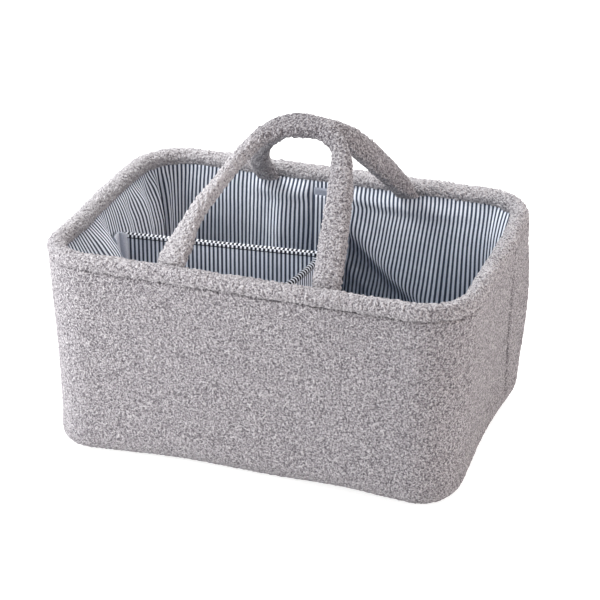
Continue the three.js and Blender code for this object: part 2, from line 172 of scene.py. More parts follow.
def boucleFinish(look):
    material, shader, place = newFinish(look)
    paintedLight = place.node("ShaderNodeAttribute", {"attribute_name": "paintedLight"}, output="Fac")
    curl = place.noise(look["curlScale"], 0.6, Roughness=0.6)
    fibre = place.noise(look["fibreScale"], 1.0)
    cloud = place.noise(look["cloudScale"], 2.0)
    # painted shade between curls and fibres: their tops lighter, the hollows darker
    light = paintedLight * look["paintedLight"] + (curl - 0.5) * look["curl"] + (fibre - 0.5) * look["fibre"]
    light = (light + look["least"]).clamped()
    cloth = mixColours(light, linear(look["shade"]), linear(look["pale"]))
    patches = (cloud * 1.2 - 0.35).clamped() * look["warmth"]
    toned = mixColours(patches, cloth, linear(look["warm"]), "MULTIPLY")
    setInputs(shader, {"Sheen Weight": look["sheen"], "Sheen Roughness": look["sheenRoughness"]})
    colourAndEmboss(shader, toned, curl + fibre * 0.3, look)
    return material


stripeLook = {
    "name": "stripedLining", "slot": "striped_lining",
    "period": 3.82, "thread": 0.42,
    "pale": "e6ebf4", "dark": "3f4757", "worn": "9aa3b2",
    # where in half a period the stripe turns dark, how uneven its edge is and how sharp
    "edge": 0.58, "uneven": 0.16, "unevenScale": 900.0, "sharp": 7.0,
    # how much the weave and soft clouds take the worn tint
    "weaveWear": 0.1, "cloudWear": 0.25, "cloudScale": 30.0,
    "roughness": 0.85, "bump": (0.25, 0.0002),
}
# painted light: a copy of the striped cloth with whiter pale stripes and darker dark ones, for
# the long divider's fold that faces up to the light
litHemLook = {**stripeLook, "name": "stripedHemLit", "pale": "eef1f7", "dark": "1d212b", "edge": 0.5}
# painted shade: a copy of the striped cloth with darker stripes, for the cross divider's fold,
# which lies in shade
shadedFoldLook = {**stripeLook, "name": "stripedFoldShaded", "pale": "ccd1db", "dark": "14171e", "edge": 0.4}


def stripeFinish(look):
    material, shader, place = newFinish(look)
    cloth = place.node("ShaderNodeUVMap", {"uv_map": "cloth"})
    across = cloth.node("ShaderNodeSeparateXYZ", None, {0: cloth}, "X")
    along = cloth.node("ShaderNodeSeparateXYZ", None, {0: cloth}, "Y")
    wobble = place.noise(look["unevenScale"], 1.0)
    turns = across * (1 / (look["period"] * mm))
    wave = turns.maths("PINGPONG", turns, 0.5) * 2.0
    dark = ((wave + wobble * look["uneven"] - look["edge"]) * look["sharp"] + 0.5).clamped()
    thread = 2 * pi / (look["thread"] * mm)
    warp = across.maths("SINE", across * thread)
    weft = along.maths("SINE", along * thread)
    weave = warp * weft
    cloud = place.noise(look["cloudScale"], 2.0)
    colour = mixColours(dark, linear(look["pale"]), linear(look["dark"]))
    wear = (weave * look["weaveWear"] + cloud * look["cloudWear"]).clamped()
    worn = mixColours(wear, colour, linear(look["worn"]), "MULTIPLY")
    colourAndEmboss(shader, worn, weave, look)
    return material


hookLook = {
    "name": "hookTape", "slot": "hook_loop_tape",
    "pale": "cdd2dc", "shade": "99a0ab",
    "roughness": 0.9,
    "loopScale": 1400.0, "cloudScale": 160.0,
    # how much loops darken and clouds lighten the tape
    "loop": 0.8, "cloud": 0.4,
    "bump": (0.5, 0.0004),
}
# painted shade: a darker copy of the same tape for the loop strips inside the basket
shadedLoopLook = {**hookLook, "name": "shadedLoopTape", "pale": "9ba1ad", "shade": "6a707d"}


def tapeFinish(look):
    material, shader, place = newFinish(look)
    inputs = {"Vector": place, "Scale": look["loopScale"]}
    loops = place.node("ShaderNodeTexVoronoi", None, inputs)
    cloud = place.noise(look["cloudScale"], 3.0)
    light = (1.1 - loops * look["loop"] + cloud * look["cloud"] - 0.2).clamped()
    colour = mixColours(light, linear(look["shade"]), linear(look["pale"]))
    colourAndEmboss(shader, colour, 1 - loops, look)
    return material


boardLook = {
    "name": "board", "slot": "board",
    "pale": "b59a77", "shade": "8d7452", "grainScale": 260.0,
    "roughness": 0.9, "bump": (0.2, 0.0004),
}


def boardFinish(look):
    material, shader, place = newFinish(look)
    grain = place.noise(look["grainScale"], 4.0)
    colour = mixColours(grain, linear(look["shade"]), linear(look["pale"]))
    colourAndEmboss(shader, colour, grain, look)
    return material


boucle = boucleFinish(boucleLook)
stripes = stripeFinish(stripeLook)
litHemStripes = stripeFinish(litHemLook)
shadedFoldStripes = stripeFinish(shadedFoldLook)
hookTape = tapeFinish(hookLook)
shadedLoopTape = tapeFinish(shadedLoopLook)
board = boardFinish(boardLook)
print("finishes made")


# the basket's outline and leaning walls

basket = {
    "halfLength": 190, "halfDepth": 131, "height": 190,
    "corner": 48, "seam": 30,
    "endTaper": 8, "sideTaper": 3.5, "sidePull": 5.5,
}


def joined(*parts):
    # points from their coordinates, all spread to one shape
    return np.stack(np.broadcast_arrays(*parts), -1)


def outlineLegs():
    # length, start or middle, start angle of the outward normal, is it a corner
    halfX, halfY = basket["halfLength"], basket["halfDepth"]
    corner, seam = basket["corner"], basket["seam"]
    sx, sy, quarter = halfX - corner, halfY - corner, corner * pi / 2
    return [
        (sy + seam, (halfX, seam), 0, False),
        (quarter, (sx, -sy), 0, True),
        (2 * sx, (sx, -halfY), -90, False),
        (quarter, (-sx, -sy), -90, True),
        (2 * sy, (-halfX, -sy), -180, False),
        (quarter, (-sx, sy), -180, True),
        (2 * sx, (-sx, halfY), -270, False),
        (quarter, (sx, sy), -270, True),
        (sy - seam, (halfX, sy), -360, False),
    ]


legs = outlineLegs()
roundLength = sum(leg[0] for leg in legs)


def runTo(index, share=0.0):
    # the run at the start of a leg, or a share of the way along it
    return sum(leg[0] for leg in legs[:index]) + share * legs[index][0]


leftSeamRun = runTo(4) + legs[0][0]
backMiddleRun = runTo(6, 0.5)
leftMiddleRun = runTo(4, 0.5)
frontMiddleRun = runTo(2, 0.5)


def outline(run):
    # place and outward normal on the rim's outer edge, run mm from the right seam, front first
    run = np.mod(np.asarray(run, float), roundLength)
    place = np.zeros(run.shape + (2,))
    normal = np.zeros(run.shape + (2,))
    start = 0.0
    for length, middle, degrees, isCorner in legs:
        on = run >= start - 1e-9
        along = run[on] - start
        turn = radians(degrees) - (along / basket["corner"] if isCorner else 0 * along)
        out = joined(np.cos(turn), np.sin(turn))
        heading = joined(np.sin(turn), -np.cos(turn))
        place[on] = middle + (out * basket["corner"] if isCorner else heading * along[..., None])
        normal[on] = out
        start += length
    return place, normal


def drawIn(place, normal, z):
    b = basket
    x, y = place[..., 0], place[..., 1]
    nx, ny = normal[..., 0], normal[..., 1]
    alongX = np.cos(pi / 2 * x / b["halfLength"]) ** 2 * abs(ny)
    alongY = np.cos(pi / 2 * y / b["halfDepth"]) ** 2 * abs(nx)
    taper = b["endTaper"] * nx ** 2 + b["sideTaper"] * ny ** 2
    return (taper + b["sidePull"] * (alongX + alongY)) * (1 - z / b["height"])


def wallAt(run, inset, z):
    place, normal = outline(run)
    depth = inset + drawIn(place, normal, z)
    flat = place - normal * depth[..., None]
    return joined(flat[..., 0], flat[..., 1], z)


# noise for tufts and folds, the same on every run

def scatter(cell, salt):
    mask = 0xffffffff
    x, y, z = cell[..., 0], cell[..., 1], cell[..., 2]
    mixed = (x * 73856093) ^ (y * 19349663) ^ (z * 83492791) ^ (salt * 40503)
    mixed = mixed & mask
    mixed = ((mixed ^ (mixed >> 15)) * 2246822519) & mask
    mixed = ((mixed ^ (mixed >> 13)) * 3266489917) & mask
    return ((mixed ^ (mixed >> 16)) & 0xffff) / 65535.0


def cellCorners(points, size):
    # where each point lies in its cell, and the eight corners of that cell
    scaled = points / size
    low = np.floor(scaled).astype(np.int64)
    steps = [np.array([i & 1, i >> 1 & 1, i >> 2]) for i in range(8)]
    return scaled - low, [(low + step, step) for step in steps]


def cornerShare(eased, step):
    return np.prod(np.where(step == 1, eased, 1 - eased), -1)


def softNoise(points, salt):
    part, corners = cellCorners(points, 1)
    eased = part * part * (3 - 2 * part)
    return sum(cornerShare(eased, step) * scatter(cell, salt) for cell, step in corners)


def curlNoise(points, size, salt):
    # noise with no large patches in it, nearly all between -2 and 2
    part, corners = cellCorners(points, size)
    eased = part ** 3 * (part * (part * 6 - 15) + 10)
    total = 0
    for cell, step in corners:
        lean = joined(*(scatter(cell, salt + k) for k in range(3))) * 2 - 1
        total = total + cornerShare(eased, step) * np.sum(lean * (part - step), -1)
    return total / 0.27


nubs = {"rise": 0.36, "shown": 0.26, "rimSize": 2.5, "wallSize": 2.1}


def boucleNubs(points, normals, size, weight):
    # the cloth with small curls raised, and their mark: 1 on top, 0 between, for painted shade
    # between the curls
    curl = np.clip(curlNoise(points, size, 31), -2, 2)
    shown = np.clip(0.5 + nubs["shown"] * curl, 0, 1)
    return points + normals * (curl * nubs["rise"] * weight)[..., None], shown


def spread(columns, rows):
    return np.meshgrid(np.linspace(0, 1, columns + 1), np.linspace(0, 1, rows + 1))


def slope(points, axis, closed):
    if not closed:
        return np.gradient(points, axis=axis)
    swapped = np.swapaxes(points, 0, axis)
    ahead = np.concatenate([swapped[1:], swapped[1:2]])
    behind = np.concatenate([swapped[-2:-1], swapped[:-1]])
    return np.swapaxes(ahead - behind, 0, axis)


def normalsOf(points, closed, inside):
    # unit normals of a laid cloth, pointing away from the inside points
    out = np.cross(slope(points, 1, closed[0]), slope(points, 0, closed[1]))
    out = out / np.maximum(np.linalg.norm(out, axis=-1, keepdims=True), 1e-9)
    return out * np.sign(np.sum(out * (points - inside)))


def gaps(path):
    return np.linalg.norm(np.diff(path, axis=0), axis=1)


def distances(path):
    return np.concatenate([[0], np.cumsum(gaps(path))])


def resample(path, count):
    # count + 1 points spaced evenly along a path
    path = np.asarray(path, float)
    steps = distances(path)
    places = np.linspace(0, steps[-1], count + 1)
    return joined(*(np.interp(places, steps, values) for values in path.T))


def arc(middle, radius, start, end, count):
    angles = np.radians(np.linspace(start, end, count + 1))
    return joined(middle[0] + radius * np.cos(angles), middle[1] + radius * np.sin(angles))


def ramp(values, low, high):
    share = np.clip((values - low) / (high - low), 0, 1)
    return share * share * (3 - 2 * share)


def hump(values, middle, reach):
    return np.exp(-((values - middle) / reach) ** 2)


# a flat grid of cloth is added and laid out point by point

def pointsOf(mesh):
    flat = np.zeros(len(mesh.vertices) * 3)
    mesh.vertices.foreach_get("co", flat)
    return flat.reshape(-1, 3)


def layCloth(name, points, uv, closed=(False, False), paintedLight=None):
    rows, columns = points.shape[0] - 1, points.shape[1] - 1
    bpy.ops.object.select_all(action="DESELECT")
    bpy.ops.mesh.primitive_grid_add(x_subdivisions=columns, y_subdivisions=rows, size=1)
    piece = bpy.context.object
    mesh = piece.data
    piece.name = mesh.name = name
    flat = pointsOf(mesh) + 0.5
    column = np.rint(flat[:, 0] * columns).astype(int)
    row = np.rint(flat[:, 1] * rows).astype(int)
    mesh.vertices.foreach_set("co", (points[row, column] * mm).ravel())
    corner = np.zeros(len(mesh.loops), int)
    mesh.loops.foreach_get("vertex_index", corner)
    layer = mesh.uv_layers.active
    layer.name = "cloth"
    layer.data.foreach_set("uv", (uv[row, column][corner] * mm).ravel())
    if paintedLight is not None:
        markPaintedLight(mesh, paintedLight[row, column])
    mesh.update()
    if any(closed):
        editAll(piece, lambda: bpy.ops.mesh.remove_doubles(threshold=0.002 * mm))
    bpy.ops.object.shade_smooth()
    return piece


def markPaintedLight(mesh, paintedLight):
    # the painted light and shade mark that the cloth's finish reads
    mesh.attributes.new("paintedLight", "FLOAT", "POINT").data.foreach_set("value", paintedLight)


def pickPiece(piece):
    bpy.ops.object.select_all(action="DESELECT")
    piece.select_set(True)
    bpy.context.view_layer.objects.active = piece


def editAll(piece, *steps):
    pickPiece(piece)
    bpy.ops.object.mode_set(mode="EDIT")
    for step in steps:
        bpy.ops.mesh.select_all(action="SELECT")
        step()
    bpy.ops.object.mode_set(mode="OBJECT")


def faceOutward():
    bpy.ops.mesh.normals_make_consistent(inside=False)


def closeEnds(piece):
    editAll(piece, lambda: bpy.ops.mesh.fill_holes(sides=0), faceOutward)
    bpy.ops.object.shade_smooth()


def thicken(piece, thickness, offset=0.0):
    pickPiece(piece)
    bpy.ops.object.modifier_add(type="SOLIDIFY")
    wall = piece.modifiers[-1]
    wall.thickness = thickness * mm
    wall.offset = offset
    bpy.ops.object.modifier_apply(modifier=wall.name)
    editAll(piece, faceOutward)


def dress(piece, finish, nodes, body="basket"):
    piece.data.materials.clear()
    piece.data.materials.append(finish)
    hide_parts(*nodes)
    if body:
        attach(piece, body)


def sewSheet(name, points, uv, thickness, finish, nodes, body):
    sheet = layCloth(name, points, uv)
    thicken(sheet, thickness)
    dress(sheet, finish, nodes, body)
    return sheet


def sewTube(name, points, uv, finish, nodes, body="basket", closed=(False, True), paintedLight=None):
    tube = layCloth(name, points, uv, closed, paintedLight)
    closeEnds(tube)
    dress(tube, finish, nodes, body)
    return tube


# outer covers: padded walls that turn under at the bottom

coverCloth = {
    "face": 0.8, "inner": 9.8, "top": 176.1,
    # the lip at the top: its drop to the inner face, a point on it, its rounding
    "lipDrop": 3.5, "lip": (7.6, 1.6), "lipRound": 3.4,
    "round": 20, "step": 0.97, "innerRows": 14,
    "coreInset": 6.0, "coreLow": 7.0,
    "seamGap": 0.15, "seamWidth": 3.4, "seamDepth": 3.2, "seamPaintedShade": 0.85,
    "seamSlant": 0.2, "seamReach": 45, "seamTop": 165,
    "wave": 0.7, "ripple": 0.5,
    # where the soft walls stand out: run, reach, height, reach, millimetres
    "settled": [
        (531, 45, 85, 60, -2.3),
        (524, 38, 5, 15, 2.8),
        (500, 48, 4, 8, 3.4),
        (1132, 45, 95, 45, 2.8),
        (1132, 45, 170, 24, -2.6),
    ],
    # where the bottom edge is lifted off the ground: run, reach, millimetres
    "lifted": [(245, 42, 2.4), (392, 38, 1.6), (930, 60, 1.2)],
    # how far the upper edge comes and goes under the roll, and stands up at two places
    "ragged": 1.4, "rightFill": 2.2, "leftFill": 0.9,
}


def coverSection():
    c = coverCloth
    middle = (c["face"] + c["round"], c["round"])
    edge = [c["inner"], c["top"] - c["lipDrop"]]
    lipMiddle = (c["face"] + c["lipRound"], c["top"] - c["lipRound"])
    outer = np.concatenate([
        [edge, [c["lip"][0], c["top"] - c["lip"][1]]],
        arc(lipMiddle, c["lipRound"], 80, 180, 8),
        arc(middle, c["round"], 180, 270, 30),
    ])
    inner = np.concatenate([
        [[middle[0], 0], [middle[0] + 0.4, 2.6]],
        arc(middle, middle[0] - c["inner"], 268, 180, 10),
        [edge],
    ])
    outside = resample(outer, round(gaps(outer).sum() / c["step"]))
    return np.concatenate([outside, resample(inner, c["innerRows"])[1:]]), len(outside)


def wallWaves(run, inset, z):
    # slow waves and settled places; the turned-under edge keeps its place
    c = coverCloth
    wave = c["wave"] * np.sin(run / 53 + 0.7) * np.sin(pi * z / 175)
    wave = wave + c["ripple"] * np.sin(run / 24 + 2.1) * np.sin(z / 38)
    free = 1 - ramp(inset, 12, c["face"] + c["round"])
    for spot, reach, height, tall, out in c["settled"]:
        wave = wave - out * hump(run, spot, reach) * hump(z, height, tall) * free
    return wave


def edgeShifts(run, z):
    # how far the bottom edge is lifted and the upper edge goes up under the roll
    c = coverCloth
    lift = sum(up * hump(run, spot, reach) for spot, reach, up in c["lifted"])
    ragged = softNoise(joined(run / 7, 0, 0), 83) * c["ragged"] - 0.4
    rightEnd = ramp(150 - run, 0, 40) + ramp(run, 1090, 1130)
    filled = c["rightFill"] * rightEnd + c["leftFill"] * hump(run, 500, 60)
    return lift * (1 - ramp(z, 0, 45)), (ragged + filled) * ramp(z, 150, 176)


def makeCover(name, fromSeam, toSeam, nodes):
    c = coverCloth
    fromRun, toRun = fromSeam + c["seamGap"], toSeam - c["seamGap"]
    section, outerCount = coverSection()
    columns = round((toRun - fromRun) / c["step"])
    run = np.linspace(fromRun, toRun, columns + 1)[None, :]
    inset, z = section[:, :1], section[:, 1:]
    isOuter = (np.arange(len(section)) < outerCount)[:, None]
    fromEnd = np.minimum(run - fromRun, toRun - run)
    turned = np.clip(1 - fromEnd / c["seamWidth"], 0, 1)
    groove = c["seamDepth"] * (1 - np.sqrt(1 - turned ** 2)) * isOuter
    wave = wallWaves(run, inset, z)
    # the right-hand seam runs back a little as it goes down
    nearSeam = hump(run, 0, c["seamReach"]) + hump(run, roundLength, c["seamReach"])
    slant = c["seamSlant"] * np.maximum(c["seamTop"] - z, 0) * nearSeam
    lifted, raised = edgeShifts(run, z)
    z = z + lifted + raised
    points = wallAt(run - slant, inset + groove + wave * isOuter, z)
    middle = wallAt(run - slant, c["coreInset"], np.maximum(z, c["coreLow"]))
    normals = normalsOf(points, (False, True), middle)
    rise = isOuter * ramp(z, -2, 2)
    uv = joined(run, distances(section)[:, None])
    points, paintedLight = boucleNubs(points, normals, nubs["wallSize"], rise)
    # painted shade: the cloth is darker where it turns into the seam's groove
    paintedLight = paintedLight * (1 - c["seamPaintedShade"] * turned ** 2)
    points[-1] = points[0]
    points[..., 2] = np.maximum(points[..., 2], 0.0)
    cover = sewTube(name, points, uv, boucle, nodes, paintedLight=paintedLight)


makeCover("frontCover", 0, leftSeamRun, ["outer_front_cover", "front_wall_foam"])
makeCover("backCover", leftSeamRun, roundLength, ["outer_back_cover", "back_wall_foam"])
print("outer covers laid")


# flat panels under and in the basket follow the outline

def panelPoints(inset, z, step):
    # a grid squeezed into the outline: its corner squares become quarter rounds
    b = basket
    halfX, halfY = b["halfLength"] - inset, b["halfDepth"] - inset
    radius = b["corner"] - inset
    u, v = spread(round(2 * halfX / step), round(2 * halfY / step))
    x, y = (2 * u - 1) * halfX, (2 * v - 1) * halfY
    pastX = np.maximum(abs(x) - (halfX - radius), 0)
    pastY = np.maximum(abs(y) - (halfY - radius), 0)
    shrink = np.maximum(pastX, pastY) / np.maximum(np.hypot(pastX, pastY), 1e-9)
    both = (pastX > 0) & (pastY > 0)
    x = np.where(both, np.sign(x) * (halfX - radius + pastX * shrink), x)
    y = np.where(both, np.sign(y) * (halfY - radius + pastY * shrink), y)
    pull = b["sidePull"] * (1 - z / b["height"])
    inX = pull * np.cos(pi / 2 * y / halfY) ** 2 + b["endTaper"]
    x = x - np.sign(x) * (abs(x) / halfX) * inX
    inY = pull * np.cos(pi / 2 * x / halfX) ** 2 + b["sideTaper"]
    y = y - np.sign(y) * (abs(y) / halfY) * inY
    return joined(x, y, z)


baseCloth = {"inset": 20.6, "top": 3.0, "step": 2.2, "thickness": 2.4, "nubRise": 0.5}


def roughenBase(mesh):
    # nubs on the underside only
    c = baseCloth
    points = pointsOf(mesh) / mm
    under = (points[:, 2] < c["top"] - c["thickness"] / 2).astype(float)
    moved, paintedLight = boucleNubs(points, np.array([0, 0, -1]), nubs["wallSize"], under * c["nubRise"])
    moved[:, 2] = np.maximum(moved[:, 2], 0.0)
    mesh.vertices.foreach_set("co", (moved * mm).ravel())
    markPaintedLight(mesh, paintedLight)
    mesh.update()


def makeBase():
    c = baseCloth
    points = panelPoints(c["inset"], c["top"], c["step"])
    base = layCloth("baseCover", points, points[..., :2])
    thicken(base, c["thickness"], -1)
    roughenBase(base.data)
    dress(base, boucle, ["outer_base_cover", "base_foam"])


makeBase()
print("base cover laid")


# rim: a soft roll round the top

rimRoll = {
    "radius": 7.7, "centre": (8.0, 182.0), "step": 0.97,
    "lump": 0.35, "nubRise": 1.6,
    # how the mark is weakened, and lifted as painted light, more along the left end and the back
    "nubShare": 0.9, "paintedLift": 0.3, "backPaintedLight": 0.6,
    # where the roll has moved: run, reach, millimetres outward
    "settled": [(1132, 45, -4.4), (572, 40, -2.6), (742, 34, -2.4)],
}


def makeRim():
    r = rimRoll
    columns = round(roundLength / r["step"])
    rows = round(2 * pi * r["radius"] / r["step"])
    u, v = spread(columns, rows)
    run = u * roundLength
    angle = 2 * pi * (v - 0.25)
    moved = sum(out * hump(run, spot, reach) for spot, reach, out in r["settled"])
    centre = r["centre"][0] - moved
    middle = wallAt(run, centre, r["centre"][1])
    around = 2 * pi * u
    lump = r["lump"] * (np.sin(around * 19 + 1) + np.sin(around * 31 + 3 + angle))
    radius = r["radius"] + lump * 0.5
    height = r["centre"][1] + radius * np.sin(angle)
    points = wallAt(run, centre - radius * np.cos(angle), height)
    points[:, -1] = points[:, 0]
    points[-1] = points[0]
    uv = joined(run, v * 2 * pi * r["radius"])
    normals = normalsOf(points, (True, True), middle)
    points, paintedLight = boucleNubs(points, normals, nubs["rimSize"], r["nubRise"])
    points[:, -1] = points[:, 0]
    points[-1] = points[0]
    # painted light: the whole roll is made lighter, more along the left end and the back
    backLightLift = r["backPaintedLight"] * ramp(run, 520, 560) * ramp(1110 - run, 0, 40)
    paintedLight = r["nubShare"] * paintedLight + r["paintedLift"] + backLightLift
    nodes = ["rim_binding", "rim_cord"]
    rim = sewTube("rimBinding", points, uv, boucle, nodes, closed=(True, True), paintedLight=paintedLight)


makeRim()
print("rim rolled")


# handles: padded straps along the arch, sewn in under the rim

handleForm = {
    # foot below the bend: inset from the rim's outer edge, height
    "foot": [(17.6, 179.2), (14.6, 177.8), (11.8, 176.0), (9.8, 173.4)],
    "step": 0.97, "across": 18,
    "halfThin": 1.4, "flare": 13, "square": 2.3,
    # near the rim this share of the padding lies on the side towards the roll
    "lopsided": 0.6, "lopsidedReach": 30,
    "footNubs": 0.7, "moreNubs": 1.1,
}
frontHandle = {
    "name": "frontHandle", "body": "front_handle",
    "lean": 44, "bend": (-110.39, 180.95), "turn": 1,
    # x and distance up the lean, foot to foot
    "path": [
        (-69.8, 0), (-65.2, 27), (-58.8, 54), (-47.0, 79.5), (-36.3, 102.5),
        (-20.9, 125.8), (-3, 138), (17, 140.8), (34.4, 137.4), (48.7, 123.8),
        (54.6, 104), (58.4, 82), (62.1, 42), (66.6, 0),
    ],
    # evenly spaced along the path
    "widths": [
        24, 22.3, 15.4, 13.1, 11, 11.8, 13, 17, 21,
        17.8, 14.5, 17.8, 21, 22.3, 23.6, 23.6, 23.5,
    ],
    "depths": [11, 13, 15.5, 15.5, 14, 14, 16, 15, 12],
    # painted light and shade along the arch, foot to foot: lighter legs, a darker crown
    "paintedLightAlong": [0.8, 1.1, -0.42, 0.15, 0.2],
    "dip": 0,
    "nodes": [
        "front_handle_cover", "front_handle_core",
        "front_left_handle_foot", "front_right_handle_foot",
    ],
}
backHandle = {
    "name": "backHandle", "body": "back_handle",
    "lean": 47.5, "bend": (-110.48, 180.18), "turn": -1,
    "path": [
        (-68, 0), (-64.4, 29), (-57.8, 64), (-50.5, 95.5), (-42, 117),
        (-33, 128), (-20, 136.5), (-5, 138.5), (8, 133.5), (19, 124.5),
        (31, 109.5), (44.5, 87), (55.5, 60), (62.3, 32), (64.5, 0),
    ],
    "widths": [21, 17, 16, 16, 19, 20, 17, 17, 20],
    "depths": [12, 20, 22, 22, 17, 15, 17, 16, 12],
    # painted light and shade along the arch, foot to foot
    "paintedLightAlong": [0.05, 0.05, -0.1, 0.1, 0.1],
    "dip": 3.5,
    "nodes": [
        "back_handle_cover", "back_handle_core",
        "back_left_handle_foot", "back_right_handle_foot",
    ],
}


def smoothAlong(values, share):
    # a soft curve through values spaced evenly from 0 to 1
    spots = np.linspace(0, 1, len(values))
    gap = spots[1]
    total = 0
    for value, spot in zip(values, spots):
        bell = 0.5 + 0.5 * np.cos(pi * (share - spot) / gap)
        total = total + value * np.where(abs(share - spot) < gap, bell, 0)
    return total


def through(points, count):
    # a soft curve through points
    p = np.asarray(points, float)
    p = np.concatenate([2 * p[:1] - p[1:2], p, 2 * p[-1:] - p[-2:-1]])
    at = np.linspace(0, len(points) - 1, count + 1)
    i = np.minimum(at.astype(int), len(points) - 2)
    t = (at - i)[:, None]
    a, b, c, d = (p[i + k] for k in range(4))
    return b + 0.5 * t * (c - a + t * (2 * a - 5 * b + 4 * c - d + t * (3 * (b - c) + d - a)))


def handlePath(h):
    # points of x, distance along the lean and distance across it, foot to foot
    lean = radians(h["lean"])
    arch = joined(*through(h["path"], 240).T, 0)
    # from the bend the foot goes in between the rim's roll and the lining
    bend = (basket["halfDepth"] + h["bend"][0], h["bend"][1])
    down = resample(np.array([bend] + handleForm["foot"])[::-1], 20)[:-1]
    offY = down[:, 0] - basket["halfDepth"] - h["bend"][0]
    offZ = down[:, 1] - h["bend"][1]
    along = offY * sin(lean) + offZ * cos(lean)
    across = offY * cos(lean) - offZ * sin(lean)
    foot = joined(0, along, across)
    left = foot + [arch[0, 0], 0, 0]
    right = foot[::-1] + [arch[-1, 0], 0, 0]
    return np.concatenate([left, arch, right]), gaps(foot).sum()


def intoFrame(h, points):
    lean = radians(h["lean"])
    x, along, across = points[..., 0], points[..., 1], points[..., 2]
    y = h["bend"][0] + along * sin(lean) + across * cos(lean)
    z = h["bend"][1] + along * cos(lean) - across * sin(lean)
    return joined(h["turn"] * x, h["turn"] * y, z)


def makeHandle(h):
    f = handleForm
    path, footLength = handlePath(h)
    length = gaps(path).sum()
    columns = round(length / f["step"])
    path = resample(path, columns)
    run = np.linspace(0, length, columns + 1)
    fromBend = np.minimum(run, length - run) - footLength
    share = np.clip((run - footLength) / (length - 2 * footLength), 0, 1)
    full = ramp(fromBend, -8, f["flare"])
    halfWide = smoothAlong(h["widths"], share) / 2
    halfDeep = f["halfThin"] + (smoothAlong(h["depths"], share) / 2 - f["halfThin"]) * full
    aside = f["lopsided"] * (halfDeep - f["halfThin"]) - h["dip"]
    path[:, 2] -= aside * (1 - ramp(fromBend, 0, f["lopsidedReach"])) * ramp(fromBend, -10, 0)
    tangent = np.gradient(path, axis=0)
    tangent /= np.linalg.norm(tangent, axis=1, keepdims=True)
    side = np.cross([0, 0, 1], tangent)
    side /= np.linalg.norm(side, axis=1, keepdims=True)
    over = np.cross(tangent, side)
    rows = round(pi * f["across"] / f["step"])
    angle = np.linspace(0, 2 * pi, rows + 1)[:, None]
    power = 2 / f["square"]
    wide = np.sign(np.cos(angle)) * abs(np.cos(angle)) ** power
    deep = np.sign(np.sin(angle)) * abs(np.sin(angle)) ** power
    local = path + (halfWide * wide)[..., None] * side + (halfDeep * deep)[..., None] * over
    local[-1] = local[0]
    points = intoFrame(h, local)
    inside = intoFrame(h, np.broadcast_to(path, local.shape))
    uv = joined(run, angle * f["across"] / 2)
    normals = normalsOf(points, (False, True), inside)
    rise = f["footNubs"] + f["moreNubs"] * full
    points, paintedLight = boucleNubs(points, normals, nubs["rimSize"], rise)
    points[-1] = points[0]
    # painted light and shade: the mark is lifted or lowered along the arch
    paintedLight = paintedLight + smoothAlong(h["paintedLightAlong"], share)
    handle = sewTube(h["name"], points, uv, boucle, h["nodes"], None, paintedLight=paintedLight)
    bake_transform(handle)


makeHandle(frontHandle)
makeHandle(backHandle)
print("handles padded")


# lining: loose striped cloth, caught under the rim and at the tapes

liningCloth = {
    "inset": 14.0, "low": 13.4, "top": 177.6,
    "step": 2.1, "thickness": 0.8, "girthHeight": 95,
    # the top is lower over the handles' feet: from the wall's middle, reach, millimetres
    "footPlace": 68, "footReach": 10.5, "footDip": 0.4,
    # how far the cloth can stand in: run, millimetres
    "slack": [
        (0, 8), (150, 8), (260, 8), (430, 9), (520, 9), (545, 13), (590, 27), (605, 29),
        (616, 6), (638, 6), (655, 12), (690, 13), (720, 11), (745, 10), (790, 6.5),
        (850, 5.5), (872, 7), (893, 10), (904, 7), (912, 0), (937, 0),
        (946, 14), (1030, 13), (1073, 11), (1110, 9), (1201.6, 8),
    ],
    # what share of that it does, one list for each kind of place: height, share
    "plain": [
        (13, 0.0), (60, 0.6), (100, 0.95), (130, 1.0),
        (150, 0.8), (165, 0.42), (172, 0.18), (178, 0.0),
    ],
    "sagging": [
        (13, 0.0), (60, 0.6), (115, 1.0), (135, 0.95), (150, 0.74), (165, 0.36), (178, 0.0),
    ],
    "kinked": [
        (13, 0.0), (60, 0.6), (80, 0.96), (95, 0.94), (110, 0.82), (135, 0.4),
        (145, 0.25), (152, 0.17), (157, 0.14), (160, 0.19), (163, 0.3),
        (166, 0.33), (169, 0.27), (172, 0.16), (175, 0.05), (178, 0.0),
    ],
    "kinkFall": 0.044,
    # upright folds: run, reach, how far in
    "folds": [
        (752, 7, 4.5), (738, 5, -2.4), (721, 8, 4.5), (702, 6, -3.0),
        (686, 9, 4.0), (664, 7, -3.0), (590, 9, 3.0), (881, 11, 3.5),
    ],
    "foldLean": 0.1, "rimFold": 3.5,
    "gather": 1.8, "wander": 1.6, "besideTape": 2.4,
}
diagonalFold = {
    "from": (12.6, 126.6), "to": (84, 73),
    # how far the cloth stands off above the line, falls back below it and stands off again
    "above": 2.6, "depth": 9.5, "below": 3.0, "ease": 0.35,
    # how far the stripes are dragged: below the line, on it, and on the way down
    "shift": 4, "drawn": 6, "slant": 0.085,
}


def softly(pairs, at, reach):
    # read off a list of places and values, with its corners rounded
    places, values = zip(*pairs)
    return sum(np.interp(at + d * reach, places, values) for d in (-1, -0.5, 0, 0.5, 1)) / 5


def wallNoise(run, z, wide, tall, salt):
    noise = softNoise(joined(run / wide, z / tall, 0), salt) - 0.5
    return noise * ramp(np.minimum(run, roundLength - run), 0, 25)


